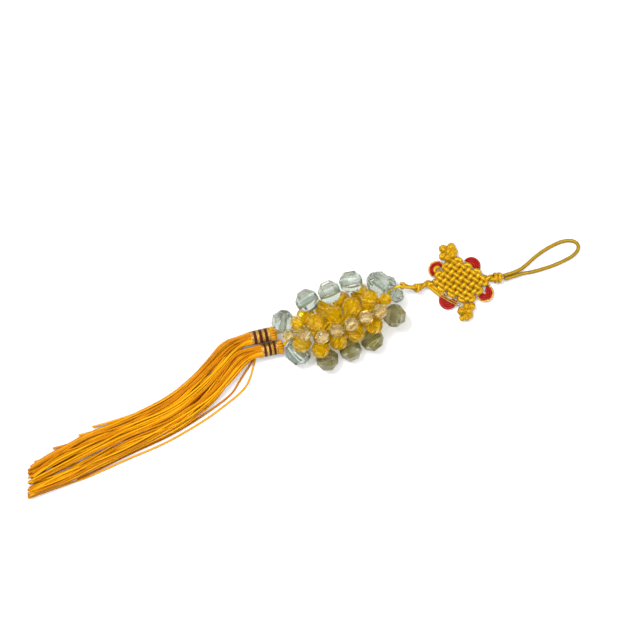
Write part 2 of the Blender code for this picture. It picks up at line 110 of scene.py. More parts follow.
class TasselSettings(bpy.types.PropertyGroup):
    """Sizes and colours of the tassels."""

    head_radius: length("Head radius", "Half the width of a bound tassel head", 2.9)
    strand_radius: length("Strand radius", "Half the thickness of a tassel strand", 0.44)
    silk: colour("Tassel silk", "Colour of the strands", (0.98, 0.45, 0.003))
    silk_deep: colour("Deep silk", "Colour of the strands' darker fibres", (0.58, 0.18, 0.001))
    silk_shade: colour("Silk shade", "Colour of the strands' shaded sides", (0.33, 0.07, 0.0005))
    binding_red: colour("Binding red", "Colour of the dark rings on the heads", (0.12, 0.012, 0.003))


class StageSettings(bpy.types.PropertyGroup):
    """Floor, light and camera."""

    floor: colour("Floor", "Colour of the floor", (0.94, 0.94, 0.94))
    elevation: FloatProperty(
        name="Camera elevation", description="Angle of the camera above the floor", default=radians(90),
        unit="ROTATION")
    turn: FloatProperty(
        name="Camera turn", description="How far the picture's right is turned from +X", default=radians(24),
        unit="ROTATION")
    distance: FloatProperty(
        name="Camera distance", description="From the charm to the camera", default=1.0, unit="LENGTH")
    lens: FloatProperty(name="Lens", description="Focal length in millimetres", default=137.0)


# Shader sums


class Wire:
    """An output socket that takes part in sums: each sum adds a Math node."""

    def __init__(self, paint, socket):
        self.paint = paint
        self.socket = socket

    def math(self, operation, *values):
        """A Math node on these values."""
        return self.paint.node("ShaderNodeMath", {"operation": operation}, dict(enumerate(values)))

    def __add__(self, other):
        return self.math("ADD", self, other)

    def __radd__(self, other):
        return self.math("ADD", other, self)

    def __sub__(self, other):
        return self.math("SUBTRACT", self, other)

    def __rsub__(self, other):
        return self.math("SUBTRACT", other, self)

    def __mul__(self, other):
        return self.math("MULTIPLY", self, other)

    def __rmul__(self, other):
        return self.math("MULTIPLY", other, self)

    def __truediv__(self, other):
        return self.math("DIVIDE", self, other)

    def __pow__(self, other):
        return self.math("POWER", self, other)

    def sine(self):
        """The sine of the value."""
        return self.math("SINE", self)

    def whole(self):
        """The value rounded down."""
        return self.math("FLOOR", self)

    def ramp(self, low, high):
        """0 up to low, 1 from high, and a soft step between them."""
        values = {"Value": self, "From Min": low, "From Max": high}
        return self.paint.node("ShaderNodeMapRange", {"interpolation_type": "SMOOTHSTEP"}, values)


class Paint:
    """One material: its node tree and its Principled shader."""

    def __init__(self, name):
        self.material = bpy.data.materials.new(name)
        self.material.use_nodes = True
        self.tree = self.material.node_tree
        self.shader = self.tree.nodes["Principled BSDF"]

    def node(self, kind, settings=None, values=None, output=0):
        """Adds a node with its settings and the values or links of its sockets; gives one of its outputs."""
        node = self.tree.nodes.new(kind)
        for key, value in (settings or {}).items():
            setattr(node, key, value)
        for key, value in (values or {}).items():
            self.feed(node.inputs[key], value)
        return Wire(self, node.outputs[output])

    def feed(self, socket, value):
        """Sets a socket to a number or colour, or links it."""
        if isinstance(value, Wire):
            self.tree.links.new(value.socket, socket)
        else:
            socket.default_value = value

    def blend(self, factor, first, second):
        """A colour between two colours."""
        values = {0: factor, 6: solid(first), 7: solid(second)}
        return self.node("ShaderNodeMix", {"data_type": "RGBA"}, values, output=2)

    def noise(self, place, scale, detail=2.0):
        """Cloudy noise at a place."""
        return self.node("ShaderNodeTexNoise", {}, {"Vector": place, "Scale": scale, "Detail": detail})

    def chance(self, value):
        """A number of its own for each whole value."""
        return self.node("ShaderNodeTexWhiteNoise", {"noise_dimensions": "1D"}, {"W": value})

    def place(self):
        """The surface's place in metres."""
        return self.node("ShaderNodeTexCoord", output="Object")

    def unroll(self):
        """A cord's own coordinates: millimetres along it, and turns round it plus its number."""
        flat = self.node("ShaderNodeTexCoord", output="UV")
        parts = self.tree.nodes.new("ShaderNodeSeparateXYZ")
        self.tree.links.new(flat.socket, parts.inputs[0])
        return Wire(self, parts.outputs[0]), Wire(self, parts.outputs[1])

    def set(self, **sockets):
        """Sets or links sockets of the Principled shader, named with underscores for spaces."""
        for name, value in sockets.items():
            self.feed(self.shader.inputs[name.replace("_", " ")], solid(value))
        return self.material

    def relief(self, height, distance, strength=1.0):
        """A surface direction that follows a height."""
        return self.node("ShaderNodeBump", {}, {"Height": height, "Distance": distance, "Strength": strength})


def solid(value):
    """A colour of three numbers with its alpha; anything else as it is."""
    if isinstance(value, (Wire, float, int)):
        return value
    return (*value[:3], 1.0)


def cord_finish(name, light, deep, roughness, metallic=0.0, ribs=0.55, plies=3, painted_shade=None):
    """Laid fibres that wind round a cord, with lighter and darker ones, and painted shade on its underside and low
    flanks.
    """
    paint = Paint(name)
    along, around = paint.unroll()
    twist = along * ribs + around
    ply = (twist * (tau * plies)).sine()
    fibre = (twist * (tau * plies * 5) + along * 0.7).sine()
    patch = paint.noise(paint.place(), 900.0)
    own = paint.chance(around.whole())
    shade = (ply * 0.5 + 0.5) * 0.35 + (fibre * 0.5 + 0.5) * 0.2 + patch * 0.35 + own * 0.25
    tone = paint.blend(shade.ramp(0.15, 0.75), deep, light)
    # Painted shade: the cord's underside and low flanks take the shade colour, or the deep fibre colour when no
    # shade colour is given
    crest = paint.node("ShaderNodeAttribute", {"attribute_name": "crest"}, output="Fac")
    tone = paint.blend(crest.ramp(PAINTED_SHADE_LOW, PAINTED_SHADE_HIGH), painted_shade or deep, tone)
    height = ply * 0.6 + fibre * 0.25 + patch * 0.3
    rough = roughness + fibre * 0.05 + patch * 0.08
    return paint.set(
        Base_Color=tone, Roughness=rough, Metallic=metallic, Specular_IOR_Level=0.28,
        Normal=paint.relief(height, 0.00006, 0.7))


# Painted shade: a cord's underside and low flanks are darkest where the shade mask is at the low value, and have
# their full tone at the high one
PAINTED_SHADE_LOW = 0.42
PAINTED_SHADE_HIGH = 0.92


def glass_finish(name, tint, roughness, transmission=1.0, shine=(1.0, 1.0, 1.0), milk=0.3):
    """Cut glass or acrylic, a little uneven inside."""
    paint = Paint(name)
    place = paint.place()
    cloud = paint.noise(place, 260.0, 3.0)
    paler = tuple(channel + (1.0 - channel) * milk for channel in tint)
    tone = paint.blend(cloud.ramp(0.42, 0.68), tint, paler)
    rough = roughness + cloud.ramp(0.5, 0.8) * 0.03
    return paint.set(
        Base_Color=tone, Roughness=rough, IOR=1.49, Transmission_Weight=transmission, Specular_Tint=shine,
        Normal=paint.relief(cloud, 0.00004, 0.25))


# Making pieces


def smooth_path(points, steps):
    """A Catmull-Rom curve through the points, with a number of steps between each two."""
    ends = [points[0] * 2 - points[1]] + list(points) + [points[-1] * 2 - points[-2]]
    curve = []
    for before, start, end, after in zip(ends, ends[1:], ends[2:], ends[3:]):
        for step in range(steps):
            t = step / steps
            curve.append(0.5 * ((2 * start) + (end - before) * t
                                + (2 * before - 5 * start + 4 * end - after) * t * t
                                + (3 * start - before - 3 * end + after) * t * t * t))
    curve.append(points[-1].copy())
    return curve


def path_directions(path):
    """The way a path runs at each of its points."""
    last = len(path) - 1
    return [(path[min(i + 1, last)] - path[max(i - 1, 0)]).normalized() for i in range(last + 1)]


class Cords:
    """Collects round cords as closed tubes in one mesh, each with its own band of the UV map."""

    def __init__(self, sides=10):
        self.sides = sides
        self.points = []
        self.faces = []
        self.flats = []
        self.shares = []
        self.painted_shade_masks = []
        self.count = 0

    def add(self, path, radius, flatten=1.0, level=False, rounded=True):
        """One cord. A level cord keeps its width along the floor; the others turn as little as they can."""
        ways = path_directions(path)
        last = len(path) - 1
        radii = [radius(i / last) if callable(radius) else radius for i in range(len(path))]
        rows = self.end_rows(path, ways, radii, rounded)
        side = ways[0].orthogonal().normalized()
        before = ways[0]
        run = 0.0
        rings = []
        for index, (centre, way, half) in enumerate(rows):
            if level:
                side = way.cross(UP).normalized()
            else:
                side = before.rotation_difference(way) @ side
                side = (side - way * side.dot(way)).normalized()
            before = way
            rise = way.cross(side)
            run += (centre - rows[max(index - 1, 0)][0]).length
            start = len(self.points)
            for k in range(self.sides):
                angle = tau * k / self.sides
                self.points.append(centre + side * (half * cos(angle)) + rise * (half * flatten * sin(angle)))
                self.shares.append(index / (len(rows) - 1))
                # Painted shade mask: 1 where the surface faces up, 0 where it faces down, so the finishes can
                # paint shade on a cord's low side
                self.painted_shade_masks.append(0.5 + 0.5 * (side * cos(angle) + rise * sin(angle)).z)
            rings.append((start, run / MM))
        for (first, low), (second, high) in zip(rings, rings[1:]):
            for k in range(self.sides):
                turn, after = k / self.sides + self.count, (k + 1) / self.sides + self.count
                following = (k + 1) % self.sides
                self.faces.append((first + k, first + following, second + following, second + k))
                self.flats.append(((low, turn), (low, after), (high, after), (high, turn)))
        for (start, run), backwards in ((rings[0], True), (rings[-1], False)):
            ring = [start + k for k in range(self.sides)]
            self.faces.append(tuple(reversed(ring)) if backwards else tuple(ring))
            self.flats.append(tuple((run, self.count + 0.5) for _ in ring))
        self.count += 1

    @staticmethod
    def end_rows(path, ways, radii, rounded):
        """Centre, direction and radius of each ring, with two smaller rings beyond each end."""
        rows = list(zip(path, ways, radii))
        if not rounded:
            return rows
        first, last = rows[0], rows[-1]
        for reach, share in ((0.35, 0.85), (0.6, 0.45)):
            rows.insert(0, (first[0] - first[1] * first[2] * reach, first[1], first[2] * share))
            rows.append((last[0] + last[1] * last[2] * reach, last[1], last[2] * share))
        return rows

    def make(self, name, material):
        """The finished piece."""
        mesh = bpy.data.meshes.new(name)
        mesh.from_pydata(self.points, [], self.faces)
        layer = mesh.uv_layers.new(name="Cord")
        layer.data.foreach_set("uv", [value for face in self.flats for corner in face for value in corner])
        # The painted shade mask is kept as an attribute beside each point's share of its cord
        for name_of, values in (("share", self.shares), ("crest", self.painted_shade_masks)):
            mesh.attributes.new(name_of, "FLOAT", "POINT").data.foreach_set("value", values)
        mesh.shade_smooth()
        mesh.update()
        piece = bpy.data.objects.new(name, mesh)
        bpy.context.scene.collection.objects.link(piece)
        mesh.materials.append(material)
        return piece


def finish_piece(piece, slot, *nodes):
    """A piece rides on the charm, and stands for the nodes named."""
    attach(piece, "root")
    if nodes:
        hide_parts(*nodes)


def point(row):
    """A place from three numbers in millimetres."""
    return Vector(row[:3]) * MM


def settings(part):
    """One group of settings of the scene."""
    return getattr(bpy.context.scene, "charm_" + part)


FINISHES = {}


def finish(name):
    """A material by name, made on first use."""
    if name not in FINISHES:
        FINISHES[name] = make_finish(name)
    return FINISHES[name]


def make_finish(name):
    """Each finish of the charm."""
    cords, beads, tassels = settings("cords"), settings("beads"), settings("tassels")
    # Painted shade colour for the yellow cords' undersides; the loop cord also takes it as its darker fibre colour
    yellow_painted_shade_and_fibre = tuple(cords.yellow_painted_shade_and_fibre)
    dark_red = tuple(tassels.binding_red)
    makers = {
        "yellow satin": lambda: cord_finish(
            name, cords.yellow, cords.yellow_deep, 0.27, metallic=0.45, painted_shade=yellow_painted_shade_and_fibre),
        "loop satin": lambda: cord_finish(
            name, cords.olive, cords.yellow_painted_shade_and_fibre, 0.36, metallic=0.35, painted_shade=yellow_painted_shade_and_fibre),
        "amber satin": lambda: cord_finish(
            name, beads.amber, cords.yellow_deep, 0.2, metallic=0.3, painted_shade=yellow_painted_shade_and_fibre),
        # With no shade colour given, red satin and binding red take their deep colour as painted shade on their
        # undersides too
        "red satin": lambda: cord_finish(name, cords.red, cords.red_deep, 0.22),
        "gold thread": lambda: cord_finish(
            name, cords.gold, cords.yellow_deep, 0.24, metallic=0.85, painted_shade=yellow_painted_shade_and_fibre),
        "binding red": lambda: cord_finish(name, dark_red, tuple(c * 0.4 for c in dark_red), 0.4),
        "tassel silk": lambda: silk_finish(name, tassels.silk, tassels.silk_deep),
        # Painted shade on the cap ribs' undersides in the silk shade colour
        "head silk": lambda: cord_finish(
            name, tassels.silk, tassels.silk_deep, 0.42, painted_shade=tuple(tassels.silk_shade)),
        "nylon": lambda: glass_finish(name, (0.9, 0.92, 0.88), 0.05),
        "clear glass": lambda: glass_finish(name, beads.clear, 0.02, transmission=0.84),
        # Painted shade: the clear glass darkened for the cluster's lower beads
        "painted shade glass": lambda: glass_finish(name, beads.painted_shade_tint, 0.02, transmission=0.76),
        "blush glass": lambda: glass_finish(name, beads.blush, 0.02, transmission=0.86),
        "amber glass": lambda: glass_finish(
            name, beads.amber, 0.03, transmission=0.72, shine=(1.0, 0.8, 0.2), milk=0.06),
    }
    return makers[name]()


def silk_finish(name, light, deep):
    """Soft twisted strands, each with its own tone, with painted shade on their undersides and frayed dull tips.
    """
    paint = Paint(name)
    along, around = paint.unroll()
    twist = along * 0.8 + around
    ply = (twist * (tau * 2)).sine()
    fibre = (twist * (tau * 11) + along * 1.3).sine()
    own = paint.chance(around.whole())
    patch = paint.noise(paint.place(), 320.0)
    shade = (ply * 0.5 + 0.5) * 0.18 + (fibre * 0.5 + 0.5) * 0.12 + patch * 0.3 + own * 0.75
    tone = paint.blend(shade.ramp(0.3, 0.9), deep, light)
    # Painted shade: the strands' undersides take the silk shade colour
    crest = paint.node("ShaderNodeAttribute", {"attribute_name": "crest"}, output="Fac")
    tone = paint.blend(crest.ramp(PAINTED_SHADE_LOW, PAINTED_SHADE_HIGH), tuple(settings("tassels").silk_shade), tone)
    share = paint.node("ShaderNodeAttribute", {"attribute_name": "share"}, output="Fac")
    dull = share.ramp(0.985, 1.0) * 0.6
    tone = paint.blend(dull, tone, (0.30, 0.14, 0.03))
    return paint.set(
        Base_Color=tone, Roughness=0.46 + fibre * 0.06, Specular_IOR_Level=0.12,
        Normal=paint.relief(ply * 0.7 + fibre * 0.3, 0.00005, 0.7))


# Stage


class CHARM_OT_stage(bpy.types.Operator):
    """Lays the floor and sets the lights, the sky and the camera"""

    bl_idname = "charm.stage"
    bl_label = "Stage"

    def execute(self, context):
        stage = settings("stage")
        bpy.ops.object.select_all(action="DESELECT")
        bpy.ops.mesh.primitive_plane_add(size=6.0, location=(0, 0, -0.05 * MM))
        ground = context.object
        ground.name = "floor"
        bpy.ops.object.transform_apply(location=True)
        paint = Paint("floor")
        grain = paint.noise(paint.place(), 40.0)
        darker = tuple(channel * 0.985 for channel in stage.floor)
        ground.data.materials.append(paint.set(
            Base_Color=paint.blend(grain, stage.floor, darker), Roughness=0.9, Specular_IOR_Level=0.2,
            Emission_Color=(1.0, 1.0, 1.0), Emission_Strength=0.16))
        self.camera(context, stage)
        self.lights(context)
        context.scene.view_settings.view_transform = "Standard"
        return {"FINISHED"}

    @staticmethod
    def camera(context, stage):
        """The camera that looks down on the charm as the photograph does."""
        turn, lift = stage.turn, stage.elevation
        right = Vector((cos(turn), -sin(turn), 0))
        top = Vector((sin(turn) * sin(lift), cos(turn) * sin(lift), cos(lift)))
        back = right.cross(top)
        lens = bpy.data.cameras.new("camera")
        lens.lens = stage.lens
        lens.sensor_width = 36.0
        lens.clip_start = 0.01
        camera = bpy.data.objects.new("camera", lens)
        middle = point((-58.5, 8.1, 0.0))
        camera.matrix_world = Matrix.Translation(middle + back * stage.distance) @ Matrix(
            (right, top, back)).transposed().to_4x4()
        context.scene.collection.objects.link(camera)
        context.scene.camera = camera

    @staticmethod
    def lights(context):
        """Three soft boxes and a pale sky that is darker near the horizon."""
        for name, place, size, power in (
            ("key", (-0.28, 0.50, 1.05), 0.34, 11.0),
            ("overhead", (0.1, 0.0, 1.3), 1.1, 12.0),
            ("fill", (0.6, -0.7, 0.5), 0.5, 3.0),
        ):
            lamp = bpy.data.lights.new(name, "AREA")
            lamp.size = size
            lamp.energy = power
            light = bpy.data.objects.new(name, lamp)
            light.location = place
            aim = point((-58.5, 0, 0)) - Vector(place)
            light.rotation_euler = aim.to_track_quat("-Z", "Y").to_euler()
            context.scene.collection.objects.link(light)
        world = bpy.data.worlds.new("sky")
        world.use_nodes = True
        tree = world.node_tree
        sky = tree.nodes["Background"]
        coordinates = tree.nodes.new("ShaderNodeTexCoord")
        parts = tree.nodes.new("ShaderNodeSeparateXYZ")
        fade = tree.nodes.new("ShaderNodeMapRange")
        fade.inputs["From Min"].default_value = 0.05
        fade.inputs["From Max"].default_value = 0.75
        fade.inputs["To Min"].default_value = 0.30
        fade.inputs["To Max"].default_value = 0.95
        tree.links.new(coordinates.outputs["Generated"], parts.inputs[0])
        tree.links.new(parts.outputs[2], fade.inputs["Value"])
        tree.links.new(fade.outputs[0], sky.inputs["Strength"])
        context.scene.world = world


# Hanging loop: x, y, z of the cord's middle in millimetres, from the snake knot round the tip and back
LOOP_ROUTE = (
    (17.75, -5.85, 2.0),
    (21.5, -6.3, 1.5),
    (25.0, -6.3, 1.1),
    (28.6, -5.45, 0.85),
    (32.6, -4.15, 0.77),
    (36.8, -3.25, 0.77),
    (40.8, -2.8, 0.77),
    (44.5, -2.8, 0.77),
    (47.6, -3.5, 0.77),
    (49.9, -4.9, 0.77),
    (50.7, -6.9, 0.77),
    (49.6, -8.8, 0.77),
    (46.8, -10.0, 0.77),
    (42.5, -10.4, 0.77),
    (38.0, -10.35, 0.77),
    (33.7, -9.95, 0.77),
    (29.4, -9.3, 0.85),
    (25.1, -8.3, 1.1),
    (21.1, -7.8, 1.5),
    (17.4, -7.4, 2.0),
)


class CHARM_OT_loop(bpy.types.Operator):
    """Lays the satin cord that the charm hangs by"""

    bl_idname = "charm.loop"
    bl_label = "Hanging loop"

    def execute(self, context):
        radius = settings("cords").radius
        path = smooth_path([point(row) for row in LOOP_ROUTE], 8)
        cord = Cords(sides=14)
        cord.add(path, radius, rounded=False)
        loop = cord.make("satin_loop", finish("loop satin"))
        finish_piece(loop, "yellow_satin", "hanging_loop")
        return {"FINISHED"}


# Snake knot: its axis, and how far along it the two wraps lie
SNAKE_START = (12.05, -4.5, 2.4)
SNAKE_END = (17.1, -6.55, 2.35)


def wound(axis_start, axis_end, low, high, turns, major, steps=20, phase=0.0):
    """A cord's way as it winds round an axis, from low to high in millimetres along it."""
    start, end = point(axis_start), point(axis_end)
    way = (end - start).normalized()
    side = way.cross(UP).normalized()
    rise = side.cross(way)
    count = max(6, int(turns * steps))
    path = []
    for step in range(count + 1):
        share = step / count
        angle = phase + tau * turns * share
        wide = major(share) if callable(major) else major
        centre = start + way * ((low + (high - low) * share) * MM)
        path.append(centre + side * (wide * MM * cos(angle)) + rise * (wide * MM * sin(angle)))
    return path


class CHARM_OT_loop_knot(bpy.types.Operator):
    """Ties the snake knot between the loop and the endless knot"""

    bl_idname = "charm.loop_knot"
    bl_label = "Snake knot"

    def execute(self, context):
        cords = Cords(sides=12)
        for phase in (0.0, pi):
            cords.add(wound(SNAKE_START, SNAKE_END, -2.2, 1.9, 0.75, 0.78, steps=30, phase=phase), 0.78 * MM)
            cords.add(wound(SNAKE_START, SNAKE_END, 3.6, 5.3, 0.3, 0.75, steps=30, phase=phase), 0.7 * MM)
        for low, high, major in ((2.0, 2.6, 1.42), (3.6, 4.2, 1.46)):
            cords.add(wound(SNAKE_START, SNAKE_END, low, high, 1.08, major, steps=28, phase=2.6), 0.86 * MM)
        for low, high in ((1.5, 3.2), (3.1, 4.8)):
            cords.add(wound(SNAKE_START, SNAKE_END, low, high, 0.5, 1.3, steps=28, phase=0.6), 0.66 * MM)
        cords.add([point(SNAKE_START).lerp(point(SNAKE_END), share) for share in (0.1, 0.4, 0.7, 0.92)], 0.75 * MM)
        knot = cords.make("snake_knot", finish("yellow satin"))
        finish_piece(knot, "yellow_satin", "loop_knot")
        return {"FINISHED"}


# Endless knot: its corners seen from above, and how far each side swells past a straight line
KNOT_LEFT = (-11.6, 3.7, 0)
KNOT_TOP = (1.9, 9.9, 0)
KNOT_RIGHT = (11.6, -4.2, 0)
KNOT_BOTTOM = (-0.3, -10.4, 0)
SWELL_LEFT_TOP = 0.2
SWELL_TOP_RIGHT = 0.3
SWELL_BOTTOM_RIGHT = 1.3
SWELL_LEFT_BOTTOM = 0.2
SWELL_REACH = 10.0
# How far inside the outline the woven rows begin, as a share of the knot, and how far their turns reach
WEAVE_INSET = 0.055
TURN_REACH = 0.95
# Each layer of cords: height of its middle, and how far a cord rises and falls over the ones it crosses
WEAVE_LAYERS = ((3.05, 0.66, 0), (1.25, 0.42, 1))
WEAVE_STEPS = 6
TURN_STEPS = 8


def knot_point(s, t):
    """A place on the knot: s runs from left to top, t from the top side to the bottom one."""
    upper = point(KNOT_LEFT).lerp(point(KNOT_TOP), s)
    lower = point(KNOT_BOTTOM).lerp(point(KNOT_RIGHT), s)
    place = upper.lerp(lower, t)
    middle = (point(KNOT_LEFT) + point(KNOT_TOP) + point(KNOT_RIGHT) + point(KNOT_BOTTOM)) / 4
    arch_s, arch_t = 4 * s * (1 - s), 4 * t * (1 - t)
    swell = (SWELL_LEFT_TOP * (1 - t) * arch_s + SWELL_BOTTOM_RIGHT * t * arch_s
             + SWELL_LEFT_BOTTOM * (1 - s) * arch_t + SWELL_TOP_RIGHT * s * arch_t)
    outward = place - middle
    return place + outward * (swell / SWELL_REACH)


def weave_route(count, crossings, along_s, height, rise, parity, span):
    """One cord that runs to and fro across the knot, over and under the cords it meets."""
    path = []
    inner = 1 - 2 * WEAVE_INSET
    sign = 1 if along_s else -1
    reach = TURN_REACH * MM / span

    def place(run, across, lift):
        run, across = WEAVE_INSET + run * inner, WEAVE_INSET + across * inner
        spot = knot_point(run, across) if along_s else knot_point(across, run)
        spot.z = (height + lift) * MM
        path.append(spot)

    for row in range(count):
        across = (row + 0.5) / count
        for step in range(crossings * WEAVE_STEPS + 1):
            share = step / (crossings * WEAVE_STEPS)
            run = 1 - share if row % 2 else share
            wave = cos(pi * (run * crossings - 0.5 + row + parity))
            drop = max(0.0, 1 - min(share, 1 - share) * crossings * 1.3)
            place(run, across, sign * rise * wave - 0.35 * drop)
        if row < count - 1:
            edge = 0 if row % 2 else 1
            out = -1 if row % 2 else 1
            for step in range(1, TURN_STEPS):
                angle = pi * step / TURN_STEPS
                middle = (row + 1) / count - cos(angle) * 0.5 / count
                place(edge + out * reach * sin(angle), middle, -0.35 - 0.1 * sin(angle))
    return path


class CHARM_OT_endless_knot(bpy.types.Operator):
    """Weaves the endless knot from cords that run to and fro both ways, in two layers"""

    bl_idname = "charm.endless_knot"
    bl_label = "Endless knot"

    def execute(self, context):
        choice = settings("cords")
        across, down = choice.cords_across, choice.cords_down
        span_s = (point(KNOT_TOP) - point(KNOT_LEFT)).length
        span_t = (point(KNOT_BOTTOM) - point(KNOT_LEFT)).length
        cords = Cords(sides=12)
        for height, rise, parity in WEAVE_LAYERS:
            for along_s, count, crossings, span in ((True, down, across, span_s), (False, across, down, span_t)):
                path = weave_route(count, crossings, along_s, height, rise, parity, span)
                cords.add(path, choice.weave_radius, flatten=choice.weave_flatten, level=True)
        knot = cords.make("woven_knot", finish("yellow satin"))
        finish_piece(knot, "yellow_satin", "endless_knot")
        return {"FINISHED"}


# Ears: x, y and radius of each tight little loop, the way its open side faces in degrees, and its height
EARS = {
    "ear_top": (
        (1.9, 10.5, 1.70, 250, 2.6),
        (-0.4, 10.0, 1.60, 200, 2.3),
        (1.1, 12.2, 1.70, 60, 2.4),
        (-2.0, 11.6, 1.60, 190, 2.0),
        (-0.4, 14.2, 1.80, 120, 2.2),
        (2.8, 13.3, 1.90, 30, 2.2),
        (3.2, 11.2, 1.40, 330, 1.8),
    ),
    "ear_bottom": (
        (-1.2, -11.3, 1.75, 80, 2.6),
        (-3.9, -12.0, 1.80, 160, 2.3),
        (0.5, -12.2, 1.60, 350, 2.2),
        (-1.4, -13.6, 1.70, 20, 2.5),
        (-1.9, -15.1, 1.50, 300, 2.0),
        (-3.4, -15.2, 1.55, 250, 2.2),
        (-5.0, -14.8, 1.20, 200, 1.8),
    ),
}
# The cord of a curl and the way it winds, as shares of the curl's radius
EAR_CORD = 0.52
EAR_BOW = 0.56


class CHARM_OT_ears(bpy.types.Operator):
    """Curls the tight little loops at the knot's top and bottom corners"""

    bl_idname = "charm.ears"
    bl_label = "Ears"

    def execute(self, context):
        for name, lobes in EARS.items():
            cords = Cords(sides=12)
            for x, y, radius, facing, height in lobes:
                cords.add(self.curl(Vector((x, y, height)) * MM, radius, facing), EAR_CORD * radius * MM)
            ear = cords.make(name.replace("ear", "curl"), finish("yellow satin"))
            finish_piece(ear, "yellow_satin", name)
        return {"FINISHED"}

    @staticmethod
    def curl(centre, radius, facing):
        """One and a third turns of cord, the last of them rising over the first."""
        tilt = Matrix.Rotation(radians(24), 3, Vector((cos(radians(facing)), sin(radians(facing)), 0)))
        path = []
        for step in range(33):
            share = step / 32
            angle = radians(facing) + tau * 1.35 * share
            wide = radius * EAR_BOW * (1 - 0.4 * share)
            spot = Vector((wide * cos(angle), wide * sin(angle), -0.5 + 1.1 * share))
            path.append(centre + tilt @ spot * MM)
        return path


# Petals: centre, the way each faces and half its sweep, in millimetres and degrees
PETALS = {
    "petal_upper_left": (-6.2, 7.35, 114, 94),
    "petal_upper_right": (7.2, 3.1, 34, 80),
    "petal_lower_left": (-7.3, -5.9, 219, 124),
    "petal_lower_right": (7.7, -9.2, 297, 108),
}
# The cords of each petal: radius of the bow, half thickness, height, share of the sweep and finish
PETAL_CORDS = {
    "petal_upper_left": (
        (3.42, 0.36, 1.30, 1.0, "gold thread"),
        (2.75, 0.52, 1.15, 1.0, "red satin"),
        (1.95, 0.50, 1.00, 1.0, "red satin"),
        (1.05, 0.75, 1.45, 1.0, "yellow satin"),
    ),
    "petal_upper_right": (
        (3.22, 0.52, 1.15, 1.0, "red satin"),
        (2.30, 0.50, 1.30, 1.0, "red satin"),
        (1.40, 0.50, 1.10, 1.0, "red satin"),
        (0.55, 0.50, 1.00, 1.0, "red satin"),
    ),
    "petal_lower_left": (
        (3.10, 0.68, 1.15, 1.0, "red satin"),
        (2.05, 0.52, 1.20, 1.0, "red satin"),
        (1.20, 0.50, 1.00, 1.0, "red satin"),
        (0.55, 0.40, 1.00, 1.0, "red satin"),
    ),
    "petal_lower_right": (
        (3.42, 0.38, 1.35, 1.0, "gold thread"),
        (2.68, 0.56, 1.10, 1.0, "red satin"),
        (1.75, 0.55, 1.15, 1.0, "red satin"),
        (0.90, 0.50, 1.00, 1.0, "red satin"),
    ),
}


# The gold threads that cross the lower left petal beside the knot, how far apart, and their half thickness
GOLD_ROUTE = ((-9.4, -1.4, 2.2), (-7.9, -3.8, 3.0), (-5.9, -6.6, 3.0), (-3.2, -9.6, 2.2))
GOLD_STEPS = ((0.0, 0.0, 0.0), (-0.75, -0.4, -0.1), (0.8, 0.5, 0.0))
GOLD_HALF = 0.24


class CHARM_OT_petals(bpy.types.Operator):
    """Bows the red cords and gold threads that stand out from behind the knot"""

    bl_idname = "charm.petals"
    bl_label = "Petals"

    def execute(self, context):
        for name, rows in PETAL_CORDS.items():
            x, y, facing, sweep = PETALS[name]
            for finish_name in ("red satin", "gold thread", "yellow satin"):
                cords = Cords(sides=12)
                for bow, half, height, share, own_finish in rows:
                    if own_finish == finish_name:
                        cords.add(self.bow(x, y, bow, height, facing, sweep * share), half * MM)
                if name == "petal_lower_left" and finish_name == "gold thread":
                    for step in GOLD_STEPS:
                        cords.add(smooth_path([point(row) + point(step) for row in GOLD_ROUTE], 5), GOLD_HALF * MM)
                if cords.count:
                    piece = cords.make(name + "_" + finish_name.split()[0], finish(finish_name))
                    slot = "red_satin" if finish_name == "red satin" else "yellow_satin"
                    finish_piece(piece, slot, name)
        return {"FINISHED"}

    @staticmethod
    def bow(x, y, radius, height, facing, sweep):
        """An arc of cord, a little higher in its middle."""
        path = []
        for step in range(31):
            share = 2 * step / 30 - 1
            angle = radians(facing + sweep * share)
            lift = height + 0.15 * (1 - share * share)
            path.append(Vector((x + radius * cos(angle), y + radius * sin(angle), lift)) * MM)
        return path


# Neck cord from the collar beads down to the knot: x, y, z and outer radius
NECK_ROUTE = (
    (-22.4, 7.4, 7.0, 1.5),
    (-21.4, 6.8, 6.7, 1.8),
    (-20.0, 5.8, 6.2, 1.75),
    (-18.6, 4.9, 5.6, 1.65),
    (-17.4, 4.1, 5.0, 1.95),
    (-16.4, 3.8, 4.4, 1.95),
    (-15.2, 3.9, 3.6, 1.3),
    (-13.7, 4.0, 2.8, 1.1),
    (-12.0, 3.85, 2.2, 1.0),
    (-10.6, 3.2, 2.1, 1.0),
)
# The cord's run on round the knot's left corner, and its half thickness
CORNER_ROUTE = ((-13.3, 3.9, 2.3), (-12.1, 2.4, 1.9), (-11.1, 0.4, 1.7), (-10.2, -1.4, 1.6), (-9.0, -3.2, 1.5))
CORNER_STEP = (0.95, 0.75, 0.2)
CORNER_HALF = 0.72


